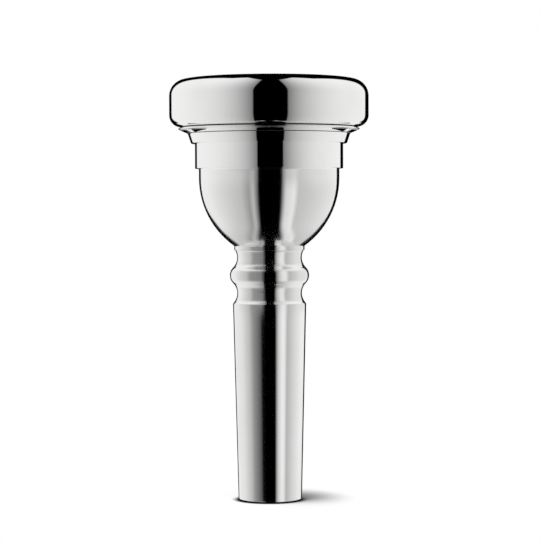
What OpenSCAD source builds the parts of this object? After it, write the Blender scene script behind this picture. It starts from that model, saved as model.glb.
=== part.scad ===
// Mouthpiece for a large-shank trombone, in three turned pieces that screw together:
// the rim that meets the lips, the cup with its throat, and the shank with the flaring bore.
// Sizes are in millimetres. The origin is the centre of the shank's end face, on the bore's axis,
// and +Z runs up the bore to the rim.

/* [Rim] */
// Outside diameter of the rim
rim_d = 39; // [38.4:0.1:40]
// Height of the rim above the face that it seats on
rim_h = 9.45; // [9:0.05:10]
// Inside diameter at the bite, the inner edge under the lips
bite_d = 25.4; // [25:0.1:26]
// Radius of the bite
bite_r = 1.2; // [0.8:0.1:1.5]
// Diameter of the circle on which the rim is highest
crown_d = 29.2; // [28.8:0.1:30]
// Height of the crown above the outer corner's curve
crown_rise = 0.16; // [0.1:0.01:0.3]
// Radius of the upper outer corner
rim_top_r = 3.3; // [2.6:0.05:3.5]
// Radius of the lower outer corner
rim_low_r = 2.25; // [1.8:0.05:2.6]

/* [Cup] */
// Diameter of the bowl where it is widest
bowl_d = 27.5; // [27:0.1:28.6]
// Radius of the bowl's side
bowl_side_r = 16.3; // [14.5:0.1:18]
// Height of the straight wall between the bowl and the band
bowl_wall_h = 1.85; // [0.5:0.05:3]
// Diameter of the plain band
band_d = 29; // [28.8:0.1:30]
// Height of the plain band
band_h = 4.9; // [4:0.05:6]
// Diameter of the collar at its lower edge
collar_low_d = 30.5; // [30.2:0.1:30.8]
// Diameter of the collar where its side meets the flange
collar_top_d = 31.8; // [31.4:0.1:32.2]
// Height of the collar's side
collar_h = 1.95; // [1.7:0.05:2.2]
// Radius of the hollow between the collar and the flange
hollow_r = 0.6; // [0.3:0.1:0.9]
// Diameter of the thin flange that carries the rim
flange_d = 35.5; // [35:0.1:35.8]
// Rise of the flange's underside from the collar to its edge
flange_rise = 0.8; // [0.6:0.05:1]
// Thickness of the flange's edge
flange_edge = 0.15; // [0.1:0.05:0.4]
// Outside diameter of the flat face that the rim seats on
seat_d = 34.2; // [33.6:0.1:34.6]
// Rise of the groove's lower side from the flange's edge to that face
groove_rise = 0.36; // [0.2:0.02:0.6]

/* [Neck] */
// Diameter at the bottom of both coves
neck_d = 12.68; // [12.4:0.02:13]
// Radius of both coves
cove_r = 2.8; // [2.6:0.05:3.1]
// Diameter of the bead between the coves
bead_d = 15.54; // [15:0.02:16.2]
// Radius of the bead
bead_r = 2.2; // [2:0.05:2.5]
// Diameter of the lip at the foot of the bowl
lip_d = 13.8; // [13.6:0.02:14.1]
// Height of that lip
lip_h = 0.8; // [0.4:0.02:1]
// Width of the lip's overhang past the upper cove
lip_step = 0.15; // [0.05:0.01:0.25]

/* [Shank] */
// Diameter of the shank at its end
shank_end_d = 12.45; // [12.3:0.01:12.6]
// Length of the taper that goes into the instrument
shank_len = 38.5; // [34:0.1:42]
// Growth of the diameter for each millimetre of the taper
taper = 0.05; // [0.045:0.001:0.055]

/* [Air way] */
// Diameter of the throat
throat_d = 7; // [6.6:0.05:7.4]
// Length of the straight throat
throat_len = 8; // [5:0.5:9]
// Radius of the shoulder where the bowl runs into the throat
shoulder_r = 2.5; // [1.5:0.1:3]
// Inside diameter of the cup where its wall begins to curve
cup_in_d = 24.8; // [24.4:0.1:25]
// Depth below the crown at which the wall begins to curve
cup_wall_depth = 12.25; // [11:0.25:13]
// Distance past the axis of the centre of the bowl's inner curve
bowl_in_offset = 1.5; // [0.5:0.1:2]
// Diameter of the bore where it leaves the shank
bore_exit_d = 10.7; // [10.2:0.05:11]
// Shape of the bore's flare, where 1 is a plain cone
flare_power = 1.2; // [1:0.05:1.6]

/* [Screw joints] */
// Outside diameter of the screw that holds the rim
rim_screw_d = 29.2; // [28.8:0.1:29.6]
// Length of the screw that holds the rim
rim_screw_len = 4.5; // [4:0.1:4.8]
// Outside diameter of the screw at the foot of the cup
foot_screw_d = 10; // [9.8:0.05:10.1]
// Length of the screw at the foot of the cup
foot_screw_len = 7.4; // [6:0.1:7.8]
// Clearance of each screw in its socket, on the radius
screw_gap = 0.1; // [0.06:0.01:0.12]
// Room left past the end of each screw
end_gap = 0.3; // [0.2:0.05:0.5]
// Depth of the relief cut at the root of each screw
relief_depth = 0.45; // [0.3:0.05:0.5]
// Height of that relief cut
relief_h = 0.9; // [0.6:0.1:1.2]
// Size of the lead-in at the end of each screw and socket
lead_in = 0.4; // [0.2:0.05:0.5]
// Size of the small roundings on outside edges
edge_r = 0.35; // [0.2:0.05:0.5]

/* [Hidden] */
turn_steps = 180;
curve_steps = 14;
edge_steps = 5;
bore_steps = 20;

// Taper and neck, from the shank's end upward
shank_end_r = shank_end_d / 2;
shank_top_r = shank_end_r + taper / 2 * shank_len;
cove_axis_r = neck_d / 2 + cove_r;
bead_axis_r = bead_d / 2 - bead_r;
lip_r = lip_d / 2;
neck_top_r = lip_r - lip_step;
low_cove_z = shank_len + leg(cove_r, cove_axis_r - shank_top_r);
cove_pitch = leg(cove_r + bead_r, cove_axis_r - bead_axis_r);
bead_z = low_cove_z + cove_pitch;
top_cove_z = bead_z + cove_pitch;
foot_z = top_cove_z + leg(cove_r, cove_axis_r - neck_top_r);
bead_half_angle = atan2(cove_pitch, cove_axis_r - bead_axis_r);

// Outside of the cup, from its foot upward
bowl_r = bowl_d / 2;
bowl_axis_r = bowl_r - bowl_side_r;
bowl_low_z = foot_z + lip_h;
bowl_top_z = bowl_low_z + leg(bowl_side_r, lip_r - bowl_axis_r);
band_z = bowl_top_z + bowl_wall_h;
collar_z = band_z + band_h;
collar_top_z = collar_z + collar_h;
flange_z = collar_top_z + flange_rise;
seat_z = flange_z + flange_edge + groove_rise;

// Rim
rim_r = rim_d / 2;
total_h = seat_z + rim_h;
rim_corner_r = rim_r - rim_top_r;
rim_corner_z = total_h - crown_rise - rim_top_r;
crown_r = crown_d / 2;
crown_reach = rim_corner_r - crown_r;
crown_drop = rim_top_r + crown_rise;
crown_curve_r = (pow(crown_reach, 2) + pow(crown_drop, 2) - pow(rim_top_r, 2)) / (2 * crown_rise);
crown_axis_z = total_h - crown_curve_r;
bite_axis_r = bite_d / 2 + bite_r;
bite_z = crown_axis_z + leg(crown_curve_r - bite_r, bite_axis_r - crown_r);

// Screws and sockets
rim_screw_r = rim_screw_d / 2;
rim_socket_r = rim_screw_r + screw_gap;
rim_screw_top = seat_z + rim_screw_len;
rim_ledge_z = rim_screw_top + end_gap;
foot_screw_r = foot_screw_d / 2;
foot_socket_r = foot_screw_r + screw_gap;
foot_screw_end = foot_z - foot_screw_len;
foot_socket_end = foot_screw_end - end_gap;

// Air way, from the cup's wall downward
cup_in_r = cup_in_d / 2;
bowl_in_z = total_h - cup_wall_depth;
bowl_in_r = cup_in_r + bowl_in_offset;
throat_r = throat_d / 2;
shoulder_axis_r = throat_r + shoulder_r;
shoulder_z = bowl_in_z - leg(bowl_in_r + shoulder_r, shoulder_axis_r + bowl_in_offset);
shoulder_angle = atan2(bowl_in_z - shoulder_z, shoulder_axis_r + bowl_in_offset);
flare_top_z = shoulder_z - throat_len;

// Other side of a right triangle with this long side and this short side
function leg(long_side, short_side) = sqrt(pow(long_side, 2) - pow(short_side, 2));

// Points of an arc about a centre, from one angle to another
function arc(centre, radius, from, to, steps = curve_steps) =
    [for (i = [0:steps]) let (a = from + (to - from) * i / steps) centre + radius * [cos(a), sin(a)]];

// Points of a small rounding that leaves one side at a, turns near the corner and joins the other at b
function rounding(a, corner, b) =
    [for (i = [0:edge_steps]) let (t = i / edge_steps)
        pow(1 - t, 2) * a + 2 * t * (1 - t) * corner + pow(t, 2) * b];

// Radius of the taper at a height
function taper_r(z) = shank_end_r + taper / 2 * z;

// Radius of the cup's straight inner wall at a height
function wall_r(z) = cup_in_r + (bite_d / 2 - cup_in_r) * (z - bowl_in_z) / (bite_z - bowl_in_z);

// Radius of the flaring bore at a height
function bore_r(z) =
    throat_r + (bore_exit_d / 2 - throat_r) * pow((flare_top_z - z) / flare_top_z, flare_power);

// Points of the flaring bore from one height to another
function flare(from, to) =
    [for (i = [0:bore_steps]) let (z = from + (to - from) * i / bore_steps) [bore_r(z), z]];

module turned(outline) {
    rotate_extrude($fn = turn_steps) polygon(outline);
}

// Ring with a crowned top, screwed down on the cup's flange
module rim() {
    corner_meets_crown = atan2(rim_corner_z - crown_axis_z, crown_reach);
    crown_meets_bite = atan2(bite_z - crown_axis_z, bite_axis_r - crown_r);
    outside = concat(
        arc([rim_r - rim_low_r, seat_z + rim_low_r], rim_low_r, -90, 0),
        arc([rim_corner_r, rim_corner_z], rim_top_r, 0, corner_meets_crown));
    top = concat(
        arc([crown_r, crown_axis_z], crown_curve_r, corner_meets_crown, crown_meets_bite),
        arc([bite_axis_r, bite_z], bite_r, crown_meets_bite, 180));
    socket = [
        [wall_r(rim_ledge_z), rim_ledge_z],
        [rim_socket_r, rim_ledge_z],
        [rim_socket_r, seat_z + lead_in],
        [rim_socket_r + lead_in, seat_z]];
    color("gainsboro") turned(concat(outside, top, socket));
}

// Bowl with its band, collar and flange, a screw above for the rim and a screw below for the shank
module cup() {
    foot_screw = [
        [foot_screw_r - lead_in, foot_screw_end],
        [foot_screw_r, foot_screw_end + lead_in],
        [foot_screw_r, foot_z - relief_h],
        [foot_screw_r - relief_depth, foot_z - relief_h + relief_depth],
        [foot_screw_r - relief_depth, foot_z],
        [lip_r, foot_z]];
    bowl_foot_angle = -acos((lip_r - bowl_axis_r) / bowl_side_r);
    bowl = concat(
        arc([bowl_axis_r, bowl_top_z], bowl_side_r, bowl_foot_angle, 0, 2 * curve_steps),
        [[bowl_r, band_z]]);
    band = concat(
        rounding([band_d / 2 - edge_r, band_z], [band_d / 2, band_z], [band_d / 2, band_z + edge_r]),
        [[band_d / 2, collar_z]]);
    collar_lean = (collar_top_d - collar_low_d) / 2 / collar_h;
    collar = rounding(
        [collar_low_d / 2 - edge_r, collar_z],
        [collar_low_d / 2, collar_z],
        [collar_low_d / 2 + collar_lean * edge_r, collar_z + edge_r]);
    // The hollow touches the collar's side and the flange's underside
    side_angle = atan2(1, collar_lean);
    under_angle = atan2(flange_rise, (flange_d - collar_top_d) / 2);
    middle_angle = (side_angle + under_angle) / 2;
    hollow_offset = hollow_r / cos((side_angle - under_angle) / 2);
    hollow_axis = [collar_top_d / 2, collar_top_z] + hollow_offset * [sin(middle_angle), -cos(middle_angle)];
    flange = concat(
        arc(hollow_axis, hollow_r, side_angle + 90, under_angle + 90, edge_steps),
        [[flange_d / 2, flange_z], [flange_d / 2, flange_z + flange_edge], [seat_d / 2, seat_z]]);
    rim_screw = [
        [rim_screw_r - relief_depth, seat_z],
        [rim_screw_r - relief_depth, seat_z + relief_h - relief_depth],
        [rim_screw_r, seat_z + relief_h],
        [rim_screw_r, rim_screw_top - lead_in],
        [rim_screw_r - lead_in, rim_screw_top],
        [wall_r(rim_screw_top), rim_screw_top]];
    inside = concat(
        arc([-bowl_in_offset, bowl_in_z], bowl_in_r, 0, -shoulder_angle, 2 * curve_steps),
        arc([shoulder_axis_r, shoulder_z], shoulder_r, 180 - shoulder_angle, 180),
        flare(flare_top_z, foot_screw_end));
    color("silver") turned(concat(foot_screw, bowl, band, collar, flange, rim_screw, inside));
}

// Tapered tube with a beaded neck and a socket for the cup's foot
module shank() {
    low_cove_start = 180 + asin((low_cove_z - shank_len) / cove_r);
    break_angle = edge_r / cove_r * 180 / PI;
    low_cove_axis = [cove_axis_r, low_cove_z];
    low_cove = arc(low_cove_axis, cove_r, low_cove_start - break_angle, 180 - bead_half_angle);
    end_edge = rounding([shank_end_r - edge_r, 0], [shank_end_r, 0], [taper_r(edge_r), edge_r]);
    top_edge = rounding(
        [taper_r(shank_len - edge_r), shank_len - edge_r],
        [shank_top_r, shank_len],
        low_cove[0]);
    bead = arc([bead_axis_r, bead_z], bead_r, -bead_half_angle, bead_half_angle);
    top_cove_end = 180 - asin((foot_z - top_cove_z) / cove_r);
    top_cove = arc([cove_axis_r, top_cove_z], cove_r, 180 + bead_half_angle, top_cove_end);
    socket = [
        [foot_socket_r + lead_in, foot_z],
        [foot_socket_r, foot_z - lead_in],
        [foot_socket_r, foot_socket_end]];
    bore = flare(foot_socket_end, 0);
    color("silver") turned(concat(end_edge, top_edge, low_cove, bead, top_cove, socket, bore));
}

rim();
cup();
shank();
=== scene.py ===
"""Looks of a silver-plated trombone mouthpiece that stands on its shank.

Rim, cup and shank are each turned from one outline, at the sizes of the solids.
"""
import math

import bpy
import numpy as np
from mathutils import Matrix


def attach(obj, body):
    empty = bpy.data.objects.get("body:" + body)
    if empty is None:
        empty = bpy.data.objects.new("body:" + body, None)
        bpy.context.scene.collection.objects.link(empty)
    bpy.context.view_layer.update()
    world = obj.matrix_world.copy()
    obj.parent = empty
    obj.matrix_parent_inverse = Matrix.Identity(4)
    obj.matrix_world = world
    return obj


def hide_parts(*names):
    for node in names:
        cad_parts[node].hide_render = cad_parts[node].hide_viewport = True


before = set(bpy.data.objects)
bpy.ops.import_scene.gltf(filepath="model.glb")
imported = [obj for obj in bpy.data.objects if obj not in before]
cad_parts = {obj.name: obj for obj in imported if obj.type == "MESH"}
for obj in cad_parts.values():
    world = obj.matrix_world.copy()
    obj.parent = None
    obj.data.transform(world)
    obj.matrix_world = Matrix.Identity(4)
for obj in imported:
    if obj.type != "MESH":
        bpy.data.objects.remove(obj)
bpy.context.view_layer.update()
scene = bpy.context.scene
scene.view_settings.view_transform = "Standard"

MM = 0.001
DEGREES = 180 / math.pi

# Fineness of the meshes: faces round the axis, then steps along the outline in degrees, millimetres or rows.
SEGMENTS = 256
ARC_STEP = 4.0
FLARE_STEP = 1.5
THREAD_ROWS = 14
EDGE_STEPS = 5

# Screw threads, which the solids leave out: pitch and depth, then shares of the pitch.
PITCH = 0.8
THREAD_DEPTH = 0.36
THREAD_RUN_OUT = 0.6
THREAD_FLAT = 0.16
SLOPE_STEP = 1e-3


# Outlines. Each is a closed run of strokes in millimetres, as radius and height, with the metal on its left.
# The edge of a stroke is how far its end is eased into the next stroke; 0 marks a smooth join.

def stroke(kind, finish, edge, **shape):
    return {"kind": kind, "finish": finish, "edge": edge, **shape}


def line(start, end, finish, edge=0):
    return stroke("line", finish, edge, start=np.array(start, float), end=np.array(end, float))


def run(spots, finish, edge):
    """Lines from spot to spot."""
    return [line(start, end, finish, edge) for start, end in zip(spots, spots[1:])]


def arc(centre, radius, first, last, finish, edge=0):
    """Part of a circle, in degrees. A hollow curve runs from the larger angle to the smaller one."""
    return stroke("arc", finish, edge, centre=np.array(centre, float), radius=radius, first=first, last=last)


def flare(first, last, radius_at, finish, edge=0):
    """A curved bore between two heights, with its radius from a function."""
    return stroke("flare", finish, edge, first=first, last=last, radius_at=radius_at)


def screw(radius, first, last, depth, finish, edge=0):
    """A thread between two heights. A depth below zero cuts into a shaft, one above zero into a socket."""
    return stroke("screw", finish, edge, radius=radius, first=first, last=last, depth=depth)


def unit(vectors):
    return vectors / np.linalg.norm(vectors, axis=-1, keepdims=True)


def outward(ways):
    """Normals on the right of an outline that goes these ways."""
    ways = unit(ways)
    return np.stack([ways[..., 1], -ways[..., 0]], axis=-1)


def shorten(whole, at_start, at_end):
    """The stroke with its two ends drawn in by these lengths."""
    s = dict(whole)
    if s["kind"] == "line":
        along = unit(s["end"] - s["start"])
        s["start"] = s["start"] + along * at_start
        s["end"] = s["end"] - along * at_end
        return s
    per_length = math.degrees(1 / s["radius"]) if s["kind"] == "arc" else 1
    way = math.copysign(per_length, s["last"] - s["first"])
    s["first"] = s["first"] + way * at_start
    s["last"] = s["last"] - way * at_end
    return s


def sampled(s):
    """Rows of radius, height, outward normal and thread depth along a stroke."""
    depth = None
    if s["kind"] == "line":
        points = np.array([s["start"], s["end"]])
        normals = outward(np.array([s["end"] - s["start"]] * 2))
    elif s["kind"] == "arc":
        steps = max(2, math.ceil(abs(s["last"] - s["first"]) / ARC_STEP))
        angles = np.radians(np.linspace(s["first"], s["last"], steps + 1))
        spokes = np.stack([np.cos(angles), np.sin(angles)], axis=1)
        points = s["centre"] + s["radius"] * spokes
        normals = spokes if s["last"] > s["first"] else -spokes
    elif s["kind"] == "flare":
        steps = max(2, math.ceil(abs(s["last"] - s["first"]) / FLARE_STEP))
        heights = np.linspace(s["first"], s["last"], steps + 1)
        points = np.array([[s["radius_at"](z), z] for z in heights])
        normals = outward(np.gradient(points, axis=0))
    else:
        steps = math.ceil(abs(s["last"] - s["first"]) / PITCH * THREAD_ROWS)
        heights = np.linspace(s["first"], s["last"], steps + 1)
        points = np.stack([np.full_like(heights, s["radius"]), heights], axis=1)
        normals = outward(np.gradient(points, axis=0))
        from_end = np.minimum(abs(heights - s["first"]), abs(heights - s["last"]))
        depth = s["depth"] * np.clip(from_end / (THREAD_RUN_OUT * PITCH), 0, 1)
    if depth is None:
        depth = np.zeros(len(points))
    return np.column_stack([points, normals, depth])


def eased(start, corner, end):
    """Rows of a small round that leads past a corner."""
    t = np.linspace(0, 1, EDGE_STEPS + 1)[1:-1, None]
    points = (1 - t) ** 2 * start + 2 * t * (1 - t) * corner + t ** 2 * end
    ways = (1 - t) * (corner - start) + t * (end - corner)
    return np.column_stack([points, outward(ways), np.zeros(len(points))])


def joined(strokes):
    """The closed outline as rows, and the finish of each row."""
    rows, tags = [], []
    cut = [shorten(s, strokes[i - 1]["edge"], s["edge"]) for i, s in enumerate(strokes)]
    for i, s in enumerate(cut):
        part = sampled(s)
        if s["edge"]:
            corner = sampled(strokes[i])[-1, :2]
            following = sampled(cut[(i + 1) % len(cut)])
            part = np.vstack([part, eased(part[-1, :2], corner, following[0, :2])])
        else:
            part = part[:-1]
        rows.append(part)
        tags += [s["finish"]] * len(part)
    return np.vstack(rows), tags


def thread_wave(turns):
    """Depth of the thread's groove, from 0 on its crest to 1 at its root."""
    way = np.abs(2 * (turns - np.floor(turns)) - 1)
    way = np.clip((way - THREAD_FLAT) / (1 - 2 * THREAD_FLAT), 0, 1)
    return way * way * (3 - 2 * way)


def surface(rows):
    """Points and exact normals of the turned surface, one ring for each row, with real thread grooves."""
    angle = np.arange(SEGMENTS) / SEGMENTS * 2 * math.pi
    cosine, sine = np.cos(angle)[None], np.sin(angle)[None]
    radius, height, normal_r, normal_z, depth = (rows[:, i:i + 1] for i in range(5))
    turns = height / PITCH - angle[None] / (2 * math.pi)
    slope = (thread_wave(turns + SLOPE_STEP) - thread_wave(turns - SLOPE_STEP)) / (2 * SLOPE_STEP)
    r = radius + depth * thread_wave(turns)
    threaded = depth != 0
    lean_r = np.broadcast_to(normal_r, r.shape)
    lean_a = np.where(threaded, depth * slope / (2 * math.pi) / r * normal_r, 0)
    lean_z = np.where(threaded, -depth * slope / PITCH * normal_r, normal_z)
    points = np.stack([r * cosine, r * sine, np.broadcast_to(height, r.shape)], axis=-1) * MM
    normals = np.stack([lean_r * cosine - lean_a * sine, lean_r * sine + lean_a * cosine, lean_z], axis=-1)
    return points.reshape(-1, 3), unit(normals).reshape(-1, 3)


def ring_faces(count):
    """Faces between neighbouring rings. The last ring meets the first one."""
    ring = np.arange(SEGMENTS)
    after = (ring + 1) % SEGMENTS
    here = np.arange(count)[:, None] * SEGMENTS
    above = (np.arange(count)[:, None] + 1) % count * SEGMENTS
    return np.stack([here + ring, here + after, above + after, above + ring], axis=-1).reshape(-1, 4)


def turned(name, body, node, strokes):
    """A turned piece from its outline."""
    rows, tags = joined(strokes)
    points, normals = surface(rows)
    faces = ring_faces(len(rows))
    mesh = bpy.data.meshes.new(name)
    mesh.from_pydata(points.tolist(), [], faces.tolist())
    used = [finish for finish in finishes if finish in tags]
    for finish in used:
        mesh.materials.append(finishes[finish])
    index = np.repeat([used.index(tag) for tag in tags], SEGMENTS)
    mesh.polygons.foreach_set("material_index", index.astype(np.int32))
    mesh.polygons.foreach_set("use_smooth", np.ones(len(faces), bool))
    mesh.update()
    mesh.normals_split_custom_set_from_vertices(normals.tolist())
    piece = bpy.data.objects.new(name, mesh)
    scene.collection.objects.link(piece)
    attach(piece, body)
    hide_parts(node)


# Sizes in millimetres, the same as the solids'. A name that ends in _r is a radius, in _h or _len a length,
# in _z a height over the shank's end.

def leg(long_side, short_side):
    return math.sqrt(long_side ** 2 - short_side ** 2)


def angle_of(height, reach):
    return math.degrees(math.atan2(height, reach))


rim_r = 19.5
rim_h = 9.4495
bite_r = 12.7
bite_edge_r = 1.2
crown_r = 14.6
crown_rise = 0.16
rim_top_r = 3.3
rim_low_r = 2.25

bowl_r = 13.75
bowl_side_r = 16.3
bowl_wall_h = 1.85
band_r = 14.5
band_h = 4.9
collar_low_r = 15.25
collar_top_r = 15.9
collar_h = 1.95
hollow_r = 0.6
flange_r = 17.75
flange_rise = 0.8
flange_edge = 0.15
seat_r = 17.1
groove_rise = 0.36

neck_r = 6.34
cove_r = 2.8
bead_out_r = 7.77
bead_r = 2.2
lip_r = 6.9
lip_h = 0.8
lip_step = 0.15
shank_end_r = 6.225
shank_len = 38.5
taper = 0.05

throat_r = 3.5
throat_len = 8.0
shoulder_r = 2.5
cup_in_r = 12.4
cup_wall_depth = 12.25
bowl_in_offset = 1.5
bore_exit_r = 5.35
flare_power = 1.2

rim_screw_r = 14.6
rim_screw_len = 4.5
foot_screw_r = 5.0
foot_screw_len = 7.4
screw_gap = 0.1
end_gap = 0.3
relief_depth = 0.45
relief_h = 0.9
lead_in = 0.4

# Worked out from the sizes: neck and shank.
shank_top_r = shank_end_r + taper / 2 * shank_len
cove_axis_r = neck_r + cove_r
bead_axis_r = bead_out_r - bead_r
neck_top_r = lip_r - lip_step
low_cove_z = shank_len + leg(cove_r, cove_axis_r - shank_top_r)
cove_pitch = leg(cove_r + bead_r, cove_axis_r - bead_axis_r)
bead_z = low_cove_z + cove_pitch
top_cove_z = bead_z + cove_pitch
foot_z = top_cove_z + leg(cove_r, cove_axis_r - neck_top_r)
bead_half_angle = angle_of(cove_pitch, cove_axis_r - bead_axis_r)
low_cove_start = 180 + math.degrees(math.asin((low_cove_z - shank_len) / cove_r))
top_cove_end = 180 - math.degrees(math.asin((foot_z - top_cove_z) / cove_r))

# Outside of the cup.
bowl_axis_r = bowl_r - bowl_side_r
bowl_low_z = foot_z + lip_h
bowl_top_z = bowl_low_z + leg(bowl_side_r, lip_r - bowl_axis_r)
bowl_foot_angle = -math.degrees(math.acos((lip_r - bowl_axis_r) / bowl_side_r))
band_z = bowl_top_z + bowl_wall_h
collar_z = band_z + band_h
collar_top_z = collar_z + collar_h
flange_z = collar_top_z + flange_rise
flange_top_z = flange_z + flange_edge
seat_z = flange_top_z + groove_rise
side_angle = angle_of(collar_h, collar_top_r - collar_low_r)
under_angle = angle_of(flange_rise, flange_r - collar_top_r)
middle_angle = (side_angle + under_angle) / 2
hollow_way = math.radians(middle_angle)
hollow_reach = hollow_r / math.cos(math.radians(side_angle - under_angle) / 2)
hollow_axis_r = collar_top_r + hollow_reach * math.sin(hollow_way)
hollow_axis_z = collar_top_z - hollow_reach * math.cos(hollow_way)

# Rim.
total_h = seat_z + rim_h
rim_corner_r = rim_r - rim_top_r
rim_corner_z = total_h - crown_rise - rim_top_r
crown_reach = rim_corner_r - crown_r
crown_drop = rim_top_r + crown_rise
crown_curve_r = (crown_reach ** 2 + crown_drop ** 2 - rim_top_r ** 2) / (2 * crown_rise)
crown_axis_z = total_h - crown_curve_r
bite_axis_r = bite_r + bite_edge_r
bite_z = crown_axis_z + leg(crown_curve_r - bite_edge_r, bite_axis_r - crown_r)
corner_meets_crown = angle_of(rim_corner_z - crown_axis_z, crown_reach)
crown_meets_bite = angle_of(bite_z - crown_axis_z, bite_axis_r - crown_r)

# Screws, their sockets and their reliefs.
rim_socket_r = rim_screw_r + screw_gap
rim_screw_top = seat_z + rim_screw_len
rim_ledge_z = rim_screw_top + end_gap
rim_relief_r = rim_screw_r - relief_depth
rim_relief_top = seat_z + relief_h
foot_socket_r = foot_screw_r + screw_gap
foot_screw_end = foot_z - foot_screw_len
foot_socket_end = foot_screw_end - end_gap
foot_relief_r = foot_screw_r - relief_depth
foot_relief_low = foot_z - relief_h

# Inside.
bowl_in_z = total_h - cup_wall_depth
bowl_in_r = cup_in_r + bowl_in_offset
shoulder_axis_r = throat_r + shoulder_r
shoulder_z = bowl_in_z - leg(bowl_in_r + shoulder_r, shoulder_axis_r + bowl_in_offset)
shoulder_angle = angle_of(bowl_in_z - shoulder_z, shoulder_axis_r + bowl_in_offset)
flare_top_z = shoulder_z - throat_len


def wall_r(z):
    return cup_in_r + (bite_r - cup_in_r) * (z - bowl_in_z) / (bite_z - bowl_in_z)


def bore_r(z):
    return throat_r + (bore_exit_r - throat_r) * (max(0.0, flare_top_z - z) / flare_top_z) ** flare_power


def hollow_spot(side):
    """Where the hollow under the flange touches a side that rises at this angle."""
    angle = math.radians(side)
    return hollow_axis_r - hollow_r * math.sin(angle), hollow_axis_z + hollow_r * math.cos(angle)


def between(start, end, share):
    return tuple(a + (b - a) * share for a, b in zip(start, end))


# Nodes.

def add(tree, kind, **settings):
    node = tree.nodes.new(kind)
    for key, value in settings.items():
        setattr(node, key, value)
    return node


def put(tree, socket, value):
    """Link a socket to another one, or set it."""
    if isinstance(value, bpy.types.NodeSocket):
        tree.links.new(value, socket)
    else:
        socket.default_value = value


def calc(tree, operation, *values):
    node = add(tree, "ShaderNodeMath", operation=operation)
    for socket, value in zip(node.inputs, values):
        put(tree, socket, value)
    return node.outputs[0]


def smooth(tree, value, low, high, out_low=0.0, out_high=1.0):
    """A soft step from one output to the other while the value goes from low to high."""
    node = add(tree, "ShaderNodeMapRange", interpolation_type="SMOOTHSTEP")
    for socket, setting in zip(node.inputs, (value, low, high, out_low, out_high)):
        put(tree, socket, setting)
    return node.outputs[0]


def blend(tree, share, a, b):
    node = add(tree, "ShaderNodeMix", data_type="FLOAT")
    put(tree, node.inputs[0], share)
    put(tree, node.inputs[2], a)
    put(tree, node.inputs[3], b)
    return node.outputs[0]


def colours(tree, share, a, b):
    node = add(tree, "ShaderNodeMix", data_type="RGBA")
    put(tree, node.inputs[0], share)
    put(tree, node.inputs[6], a)
    put(tree, node.inputs[7], b)
    return node.outputs[2]


def grey(level):
    return (level, level, level, 1)


def ramp(tree, value, stops):
    """Grey level along a value from 0 to 1, with straight runs between the stops."""
    node = add(tree, "ShaderNodeValToRGB")
    put(tree, node.inputs[0], value)
    ladder = node.color_ramp.elements
    while len(ladder) < len(stops):
        ladder.new(0.5)
    for element, (place, level) in zip(ladder, stops):
        element.position = place
        element.color = grey(level)
    return node.outputs[0]


def noise(tree, scale, detail, vector=None, w=None, rough=0.5):
    """Noise in space, or along one number w."""
    node = add(tree, "ShaderNodeTexNoise", noise_dimensions="3D" if w is None else "1D")
    if w is not None:
        put(tree, node.inputs["W"], w)
    elif vector is not None:
        put(tree, node.inputs["Vector"], vector)
    node.inputs["Scale"].default_value = scale
    node.inputs["Detail"].default_value = detail
    node.inputs["Roughness"].default_value = rough
    return node.outputs[0]


def bump(tree, height, distance, normal=None):
    node = add(tree, "ShaderNodeBump")
    node.inputs["Strength"].default_value = 1.0
    node.inputs["Distance"].default_value = distance * MM
    put(tree, node.inputs["Height"], height)
    if normal is not None:
        put(tree, node.inputs["Normal"], normal)
    return node.outputs[0]


# Finishes. Clouds, lines and marks are counted to the millimetre, and bumps are in millimetres.

CLOUDS, LINES, MARKS = 0.12, 9.0, 1.3
LINE_ROUGHNESS = 0.7
CLOUD_EDGES = 0.4, 0.75
HAZE_EDGES = 0.3, 0.7
ROUND_THE_AXIS = 0.25
BRIGHT = (0.95, 0.95, 0.945, 1)
HAZED = (0.92, 0.92, 0.91, 1)


def silver(name, colour, dull, roughness, line_bump, mark_bump, anisotropy=0.0):
    """Silver plating with faint clouding, fine turning lines round the axis and broader tool marks."""
    material = bpy.data.materials.new(name)
    material.use_nodes = True
    tree = material.node_tree
    shader = tree.nodes["Principled BSDF"]
    place = add(tree, "ShaderNodeVectorMath", operation="SCALE")
    put(tree, place.inputs[0], add(tree, "ShaderNodeTexCoord").outputs["Object"])
    place.inputs["Scale"].default_value = 1 / MM
    split = add(tree, "ShaderNodeSeparateXYZ")
    put(tree, split.inputs[0], place.outputs[0])
    height = split.outputs[2]
    cloud = noise(tree, CLOUDS, detail=3, vector=place.outputs[0])
    lines = noise(tree, LINES, detail=2, w=height, rough=LINE_ROUGHNESS)
    marks = noise(tree, MARKS, detail=1, w=height)
    put(tree, shader.inputs["Base Color"], colours(tree, smooth(tree, cloud, *CLOUD_EDGES), colour, dull))
    shader.inputs["Metallic"].default_value = 1.0
    haze = blend(tree, 0.5, cloud, lines)
    put(tree, shader.inputs["Roughness"], smooth(tree, haze, *HAZE_EDGES, *roughness))
    shader.inputs["Anisotropic"].default_value = anisotropy
    if anisotropy:
        shader.inputs["Anisotropic Rotation"].default_value = ROUND_THE_AXIS
        tangent = add(tree, "ShaderNodeTangent", direction_type="RADIAL", axis="Z")
        put(tree, shader.inputs["Tangent"], tangent.outputs[0])
    fine = bump(tree, lines, line_bump)
    put(tree, shader.inputs["Normal"], bump(tree, marks, mark_bump, fine))
    return material


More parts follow.
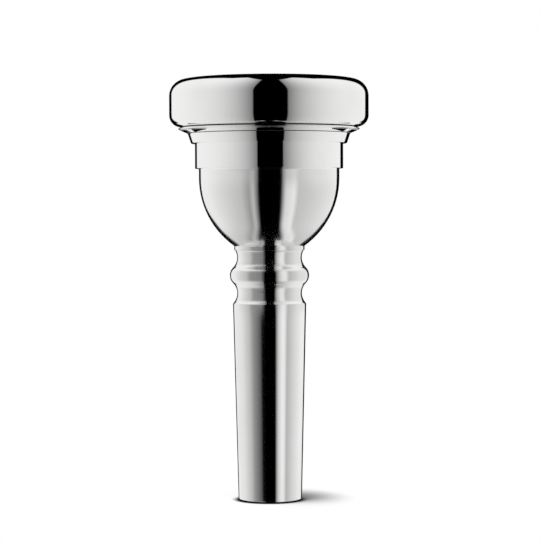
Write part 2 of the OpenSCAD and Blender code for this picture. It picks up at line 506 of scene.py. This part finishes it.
finishes = {
    "polished": silver(
        "silver_polished", BRIGHT, HAZED,
        roughness=(0.02, 0.05), line_bump=0.00005, mark_bump=0.0001),
    "turned": silver(
        "silver_turned", BRIGHT, HAZED,
        roughness=(0.1, 0.14), line_bump=0.0001, mark_bump=0.0002, anisotropy=1.0),
    "satin": silver(
        "silver_satin", BRIGHT, HAZED,
        roughness=(0.24, 0.3), line_bump=0.0001, mark_bump=0.0002),
    # Dark silver that paints shade into creases: the hollow under the flange and the groove under the rim.
    "painted_crease_shade": silver(
        "silver_painted_crease_shade", (0.11, 0.105, 0.1, 1), (0.08, 0.075, 0.07, 1),
        roughness=(0.3, 0.4), line_bump=0.0003, mark_bump=0.0004),
    "bore": silver(
        "silver_bore", HAZED, (0.86, 0.855, 0.84, 1),
        roughness=(0.12, 0.22), line_bump=0.0004, mark_bump=0.001, anisotropy=0.6),
    "screw": silver(
        "silver_screw", (0.9, 0.89, 0.87, 1), (0.82, 0.72, 0.5, 1),
        roughness=(0.14, 0.26), line_bump=0.0003, mark_bump=0.0004),
}

# Eased edges, from the finest to the roundest.
fine_edge = 0.04
plain_edge = 0.05
seat_edge = 0.06
flange_round = 0.07
bore_round = 0.08
seam_edge = 0.1
band_low_round = 0.18
band_top_round = 0.2
shank_top_round = 0.3
shank_end_round = 0.35

# The rim.
turned(
    "rim_ring", "rim", "rim",
    [
        line((rim_socket_r + lead_in, seat_z), (rim_r - rim_low_r, seat_z), "bore"),
        arc((rim_r - rim_low_r, seat_z + rim_low_r), rim_low_r, -90, 0, "polished"),
        line((rim_r, seat_z + rim_low_r), (rim_r, rim_corner_z), "polished"),
        arc((rim_corner_r, rim_corner_z), rim_top_r, 0, corner_meets_crown, "polished"),
        arc((crown_r, crown_axis_z), crown_curve_r, corner_meets_crown, crown_meets_bite, "polished"),
        arc((bite_axis_r, bite_z), bite_edge_r, crown_meets_bite, 180, "polished"),
        line((bite_r, bite_z), (wall_r(rim_ledge_z), rim_ledge_z), "polished", seat_edge),
        line((wall_r(rim_ledge_z), rim_ledge_z), (rim_socket_r, rim_ledge_z), "screw", fine_edge),
        screw(rim_socket_r, rim_ledge_z, seat_z + lead_in, THREAD_DEPTH, "screw", plain_edge),
        line((rim_socket_r, seat_z + lead_in), (rim_socket_r + lead_in, seat_z), "screw", plain_edge),
    ],
)

# The cup. Painted shade, a dark silver finish, keeps to the hollow under the flange and to the inner end of
# the groove under the rim, where the creases fall in shade.
hollow_axis = (hollow_axis_r, hollow_axis_z)
flange_low = (flange_r, flange_z)
flange_top = (flange_r, flange_top_z)
satin_from = 0.66
crease_shade_from = 0.74
satin_spot = between(hollow_spot(under_angle), flange_low, satin_from)
seam_spot = between(flange_top, (seat_r, seat_z), crease_shade_from)
turned(
    "cup_bowl", "cup", "cup",
    [
        line((bore_r(foot_screw_end), foot_screw_end), (foot_screw_r - lead_in, foot_screw_end), "screw",
             fine_edge),
        line((foot_screw_r - lead_in, foot_screw_end), (foot_screw_r, foot_screw_end + lead_in), "screw",
             plain_edge),
        screw(foot_screw_r, foot_screw_end + lead_in, foot_relief_low, -THREAD_DEPTH, "screw", plain_edge),
        *run([
            (foot_screw_r, foot_relief_low),
            (foot_relief_r, foot_relief_low + relief_depth),
            (foot_relief_r, foot_z),
        ], "screw", plain_edge),
        line((foot_relief_r, foot_z), (lip_r, foot_z), "screw", seat_edge),
        line((lip_r, foot_z), (lip_r, bowl_low_z), "turned", seat_edge),
        arc((bowl_axis_r, bowl_top_z), bowl_side_r, bowl_foot_angle, 0, "turned"),
        line((bowl_r, bowl_top_z), (bowl_r, band_z), "turned", plain_edge),
        line((bowl_r, band_z), (band_r, band_z), "polished", band_low_round),
        line((band_r, band_z), (band_r, collar_z), "polished", seat_edge),
        line((band_r, collar_z), (collar_low_r, collar_z), "polished", band_top_round),
        line((collar_low_r, collar_z), hollow_spot(side_angle), "polished"),
        arc(hollow_axis, hollow_r, side_angle + 90, middle_angle + 90, "polished"),
        # Painted shade in the hollow under the flange.
        arc(hollow_axis, hollow_r, middle_angle + 90, under_angle + 90, "painted_crease_shade"),
        line(hollow_spot(under_angle), satin_spot, "polished"),
        line(satin_spot, flange_low, "satin", flange_round),
        line(flange_low, flange_top, "polished", flange_round),
        line(flange_top, seam_spot, "polished"),
        # Painted shade at the inner end of the groove under the rim.
        line(seam_spot, (seat_r, seat_z), "painted_crease_shade", seam_edge),
        *run([
            (seat_r, seat_z),
            (rim_relief_r, seat_z),
            (rim_relief_r, rim_relief_top - relief_depth),
            (rim_screw_r, rim_relief_top),
        ], "screw", plain_edge),
        screw(rim_screw_r, rim_relief_top, rim_screw_top - lead_in, -THREAD_DEPTH, "screw", plain_edge),
        *run([
            (rim_screw_r, rim_screw_top - lead_in),
            (rim_screw_r - lead_in, rim_screw_top),
            (wall_r(rim_screw_top), rim_screw_top),
        ], "screw", plain_edge),
        line((wall_r(rim_screw_top), rim_screw_top), (cup_in_r, bowl_in_z), "polished"),
        arc((-bowl_in_offset, bowl_in_z), bowl_in_r, 0, -shoulder_angle, "polished"),
        arc((shoulder_axis_r, shoulder_z), shoulder_r, 180 - shoulder_angle, 180, "polished"),
        line((throat_r, shoulder_z), (throat_r, flare_top_z), "bore"),
        flare(flare_top_z, foot_screw_end, bore_r, "bore", plain_edge),
    ],
)

# The shank.
turned(
    "shank_tube", "shank", "shank",
    [
        line((bore_exit_r, 0), (shank_end_r, 0), "polished", shank_end_round),
        line((shank_end_r, 0), (shank_top_r, shank_len), "turned", shank_top_round),
        arc((cove_axis_r, low_cove_z), cove_r, low_cove_start, 180 - bead_half_angle, "turned"),
        arc((bead_axis_r, bead_z), bead_r, -bead_half_angle, bead_half_angle, "turned"),
        arc((cove_axis_r, top_cove_z), cove_r, 180 + bead_half_angle, top_cove_end, "turned", seat_edge),
        *run([
            (neck_top_r, foot_z),
            (foot_socket_r + lead_in, foot_z),
            (foot_socket_r, foot_z - lead_in),
        ], "screw", plain_edge),
        screw(foot_socket_r, foot_z - lead_in, foot_socket_end, THREAD_DEPTH, "screw", plain_edge),
        line((foot_socket_r, foot_socket_end), (bore_r(foot_socket_end), foot_socket_end), "screw",
             plain_edge),
        flare(foot_socket_end, 0, bore_r, "bore", bore_round),
    ],
)

# Floor. The camera sees white paper that glows evenly, with a painted shadow of the part on it, worked out
# from how near the pieces are.
FLOOR_METRES = 3.0
PAPER_GRAIN = 90.0
PAPER_DARK = 0.86
PAPER_LIGHT = 0.88
bpy.ops.mesh.primitive_circle_add(vertices=128, radius=FLOOR_METRES, fill_type="NGON", location=(0, 0, 0))
floor = bpy.context.object
floor.name = "floor"
floor.visible_glossy = False
paper = bpy.data.materials.new("white_paper")
paper.use_nodes = True
sheet = paper.node_tree
paper_shader = sheet.nodes["Principled BSDF"]
paper_shader.inputs["Roughness"].default_value = 1.0
paper_shader.inputs["Specular IOR Level"].default_value = 0.0
paper_colour = colours(sheet, noise(sheet, PAPER_GRAIN, detail=2), grey(PAPER_DARK), grey(PAPER_LIGHT))
put(sheet, paper_shader.inputs["Base Color"], paper_colour)


def near_shade(reach, facing, low, high, darkest):
    """Painted shadow: the light that pieces within reach leave at a spot of the floor, for light that comes
    from one side.
    """
    node = add(sheet, "ShaderNodeAmbientOcclusion", samples=32)
    node.inputs["Distance"].default_value = reach * MM
    way = add(sheet, "ShaderNodeCombineXYZ")
    for socket, value in zip(way.inputs, facing):
        socket.default_value = value
    put(sheet, node.inputs["Normal"], way.outputs[0])
    return smooth(sheet, node.outputs["AO"], low, high, darkest, 1.0)


# Painted shadow: a near and a far patch beside the part, and a dark line along the shank's end.
near_side = near_shade(reach=3.0, facing=(-0.8, 0.3, 0.5), low=0.2, high=0.9, darkest=0.8)
far_side = near_shade(reach=11.0, facing=(-0.7, -0.45, 0.35), low=0.5, high=1.0, darkest=0.25)
foot_line = near_shade(reach=1.8, facing=(0.1, 0.78, 0.6), low=0.55, high=1.0, darkest=0.0)
side_shade = calc(sheet, "MULTIPLY", near_side, far_side)
# The camera sees the paper glow white, with the painted shadow as its strength.
white = add(sheet, "ShaderNodeEmission")
put(sheet, white.inputs["Strength"], calc(sheet, "MULTIPLY", side_shade, foot_line))
paper_seen = add(sheet, "ShaderNodeMixShader")
put(sheet, paper_seen.inputs[0], add(sheet, "ShaderNodeLightPath").outputs["Is Camera Ray"])
put(sheet, paper_seen.inputs[1], paper_shader.outputs[0])
put(sheet, paper_seen.inputs[2], white.outputs[0])
put(sheet, sheet.nodes["Material Output"].inputs["Surface"], paper_seen.outputs[0])
floor.data.materials.append(paper)

# Lamp.
key = bpy.data.lights.new("key", "SUN")
key.energy = 2.9
key.angle = math.radians(80)
key_lamp = bpy.data.objects.new("key", key)
key_lamp.rotation_euler = (math.radians(32), 0, math.radians(-60))
key_lamp.visible_glossy = False
scene.collection.objects.link(key_lamp)

# Sheets that show only in reflections.

SHEET_SIDES = 72


def reflected_only(name, spots, material):
    """A sheet round the axis, between two spots of (radius, height) in millimetres."""
    angles = np.linspace(0, 2 * math.pi, SHEET_SIDES + 1)
    points = [(r * math.sin(a) * MM, -r * math.cos(a) * MM, z * MM) for a in angles for r, z in spots]
    faces = [(2 * i, 2 * i + 2, 2 * i + 3, 2 * i + 1) for i in range(SHEET_SIDES)]
    mesh = bpy.data.meshes.new(name)
    mesh.from_pydata(points, [], faces)
    mesh.materials.append(material)
    round_sheet = bpy.data.objects.new(name, mesh)
    scene.collection.objects.link(round_sheet)
    round_sheet.visible_camera = False
    round_sheet.visible_diffuse = False
    round_sheet.visible_shadow = False
    round_sheet.visible_transmission = False


# Clear screens round the pieces: the number of layers that a reflection crosses tells which piece it left.
clear = bpy.data.materials.new("clear_screen")
clear.use_nodes = True
glass = clear.node_tree
glass.nodes.remove(glass.nodes["Principled BSDF"])
clear_shader = add(glass, "ShaderNodeBsdfTransparent")
put(glass, glass.nodes["Material Output"].inputs["Surface"], clear_shader.outputs[0])
gap = 0.02
under_band = 0.4
under_bowl = 0.05
under_neck = 2.8
screen_r = 22.0
screen_low = -5.0
screen_top = band_z - under_band
bowl_floor = bowl_low_z - under_bowl
shank_roof = shank_len - under_neck
screens = [
    [(screen_r, screen_low), (screen_r, screen_top)],
    [(screen_r + gap, screen_low), (screen_r + gap, shank_roof)],
    [(screen_r + gap, bowl_floor), (screen_r + gap, screen_top)],
    [(screen_r + 2 * gap, bowl_floor), (screen_r + 2 * gap, screen_top)],
    [(0, screen_low), (screen_r, screen_low)],
]
screens += [[(lip_r + gap, bowl_floor - gap * i), (screen_r, bowl_floor - gap * i)] for i in range(2)]
screens += [[(bowl_r + gap, screen_top + gap * i), (screen_r, screen_top + gap * i)] for i in range(3)]
for number, spots in enumerate(screens):
    reflected_only(f"screen_{number}", spots, clear)

# The shade between the shank's end and the floor, as the end's edge reflects it.
shade = bpy.data.materials.new("foot_shade")
shade.use_nodes = True
shade_shader = shade.node_tree.nodes["Principled BSDF"]
shade_shader.inputs["Base Color"].default_value = grey(0.01)
shade_shader.inputs["Roughness"].default_value = 1.0
shade_shader.inputs["Specular IOR Level"].default_value = 0.0
shade_in_r = 5.4
shade_out_r = 6.3
shade_z = 0.02
reflected_only("foot_shade", [(shade_in_r, shade_z), (shade_out_r, shade_z)], shade)

# Studio, as reflections see it. Angles are in degrees.
world = bpy.data.worlds.new("studio")
scene.world = world
world.use_nodes = True
world.cycles.sampling_method = "NONE"
sky = world.node_tree


def times(a, b):
    return calc(sky, "MULTIPLY", a, b)


def minus(a, b):
    return calc(sky, "SUBTRACT", a, b)


def absolute(value):
    return calc(sky, "ABSOLUTE", value)


def scaled(value, factor, offset):
    return calc(sky, "MULTIPLY_ADD", value, factor, offset)


def in_degrees(operation, *values):
    return times(calc(sky, operation, *values), DEGREES)


def layers_over(count):
    return calc(sky, "GREATER_THAN", path.outputs["Transparent Depth"], count + 0.5)


# A direction of the studio shows in a mirror that faces turn, to the camera's right, and leans back by half
# of lean.
direction = add(sky, "ShaderNodeSeparateXYZ")
put(sky, direction.inputs[0], add(sky, "ShaderNodeTexCoord").outputs["Generated"])
right, back, up = direction.outputs
path = add(sky, "ShaderNodeLightPath")
tiny = 1e-6
aside = in_degrees("ARCSINE", right)
climb = in_degrees("ARCTAN2", up, times(back, -1.0))
turn = in_degrees("ARCTAN2", right, minus(1.0, back))
spread = calc(sky, "SQRT", calc(sky, "MAXIMUM", scaled(back, -2.0, 2.0), tiny))
lean = times(in_degrees("ARCSINE", calc(sky, "DIVIDE", up, spread)), 2)

# A white tent with a dark slit towards the camera, which narrows on its way up.
tent_level = 0.87
slit_middle = 0.9
slit_edges = 9.4, 10.4
slit_top, slit_top_share = 110, 0.42
shade_start, shade_length = 5.9, 17
off_middle = absolute(minus(turn, slit_middle))
from_slit = calc(sky, "DIVIDE", off_middle, smooth(sky, lean, 0, slit_top, 1.0, slit_top_share))
fall = calc(sky, "EXPONENT", scaled(from_slit, -1 / shade_length, shade_start / shade_length))
tent = times(scaled(fall, -tent_level, tent_level), smooth(sky, from_slit, *slit_edges))

# Cup, neck and shank each see the slit between a grey card on the left and a lit one on the right.
bowl_foot_leans = -96, -66
bowl_foot_share = 0.68
card_turn = times(turn, smooth(sky, lean, *bowl_foot_leans, bowl_foot_share, 1.0))


def cards(*stops):
    """Grey level round the object, from (degrees to the right, level) stops."""
    across = scaled(card_turn, 1 / 180, 0.5)
    return ramp(sky, across, [((angle + 90) / 180, level) for angle, level in stops])


by_bowl = cards(
    (-90, 0.86), (-60, 0.8), (-24, 0.5), (-17, 0.3), (-13.5, 0.48), (-8.5, 0.0),
    (9.7, 0.0), (14, 0.66), (21, 0.8), (25, 0.52), (60, 0.73), (90, 0.88))
by_neck = cards(
    (-90, 0.86), (-60, 0.8), (-36, 0.5), (-29, 0.28), (-13, 0.2), (-7, 0.0),
    (8.5, 0.0), (14, 0.5), (19, 0.74), (24, 0.78), (30, 0.46), (50, 0.7), (90, 0.85))
by_shank = cards(
    (-90, 0.88), (-50, 0.74), (-34, 0.48), (-27, 0.27), (-16, 0.1), (-12, 0.0),
    (9, 0.0), (14, 0.57), (20, 0.82), (24, 0.8), (29, 0.45), (42, 0.65), (60, 0.84), (90, 0.9))

# The tent shows past the neck's cards, and through the cards of the cup's upright wall.
neck_leans = 45, 62
wall_leans = 14, -20
wall_share = 0.2
shank_leans = -26, -20
by_neck = blend(sky, smooth(sky, absolute(lean), *neck_leans), by_neck, tent)
by_wall = blend(sky, smooth(sky, lean, *wall_leans, wall_share, 1.0), tent, by_bowl)
on_shank = times(layers_over(1), smooth(sky, lean, *shank_leans))

# Layers pick the light: none the tent, 1 the neck's, 2 the shank's or, lower down, the neck's, 3 and 4 the
# cup's, 5 the neck's, and more the tent.
lit = blend(sky, on_shank, by_neck, by_shank)
lit = blend(sky, layers_over(2), lit, by_wall)
lit = blend(sky, layers_over(4), lit, by_neck)
lit = blend(sky, layers_over(5), lit, tent)
lit = blend(sky, layers_over(0), tent, lit)

# A dark curtain goes from the floor behind the object to a place overhead. Its stops are degrees of climb,
# with 0 at the camera, and half the curtain's width there. For the bowl it widens downwards.
curtain_most = 40.0
curtain_soft = 1.5
curtain_least = 0.1
curtain_right = 2.5
curtain_ups = -0.3, -0.1
curtain_stops = [
    (-180, 31.6), (-169.2, 28), (-154.8, 20), (-133.2, 12), (-127.8, 0),
    (102.6, 0), (108, 20), (151.2, 24.8), (180, 31.6)]
curtain_places = [((angle + 180) / 360, width / curtain_most) for angle, width in curtain_stops]
bowl_ups = -0.14, -0.42
bowl_widening = 0.45
half_width = times(ramp(sky, scaled(climb, 1 / 360, 0.5), curtain_places), curtain_most)
from_bowl = minus(layers_over(2), layers_over(4))
half_width = times(half_width, scaled(from_bowl, smooth(sky, up, *bowl_ups, 0.0, bowl_widening), 1.0))
beside = absolute(minus(aside, smooth(sky, up, *curtain_ups, 0.0, curtain_right)))
curtain = smooth(sky, minus(beside, half_width), curtain_soft, -curtain_soft)
curtain = times(curtain, calc(sky, "GREATER_THAN", half_width, curtain_least))

# The lit floor hides the foot of the curtain. Reflections that cross a screen see its far edge lower down.
floor_slope = -1.1
floor_least = 0.16
floor_side_soft = 0.03
floor_top = -0.27
floor_drop = -0.28
floor_top_soft = 0.04
floor_edge = calc(sky, "MAXIMUM", times(up, floor_slope), floor_least)
floor_seen = smooth(sky, minus(absolute(right), floor_edge), floor_side_soft, -floor_side_soft)
over_floor = minus(up, scaled(layers_over(0), floor_drop, floor_top))
floor_seen = times(floor_seen, smooth(sky, over_floor, floor_top_soft, -floor_top_soft))
curtain = times(curtain, minus(1.0, floor_seen))

# The roof is dark too, from a lower edge in the middle.
roof_sides = 3, 20
roof_leans = 80, 112
roof_soft = 3
roof = smooth(sky, minus(lean, smooth(sky, off_middle, *roof_sides, *roof_leans)), -roof_soft, roof_soft)

# Reflections see the studio, the camera sees white, and all else gets a plain fill.
silver_gain = 1.06
fill_level = 0.3
dark = calc(sky, "MAXIMUM", curtain, roof)
seen = times(times(lit, minus(1.0, dark)), silver_gain)
level = blend(sky, path.outputs["Is Glossy Ray"], fill_level, seen)
level = blend(sky, path.outputs["Is Camera Ray"], level, 1.0)
put(sky, sky.nodes["Background"].inputs["Color"], level)

# Camera, in millimetres and degrees.
camera_x, camera_y, camera_z = 0.1, -400, 57.7
camera_dip = 1.815
camera_roll = -0.21
camera = bpy.data.cameras.new("camera")
camera.sensor_width = 36.0
camera.lens = 136.0
camera.clip_start = 0.01
eye = bpy.data.objects.new("camera", camera)
eye.matrix_world = (
    Matrix.Translation((camera_x * MM, camera_y * MM, camera_z * MM))
    @ Matrix.Rotation(math.radians(90 - camera_dip), 4, "X")
    @ Matrix.Rotation(math.radians(camera_roll), 4, "Z")
)
scene.collection.objects.link(eye)
scene.camera = eye
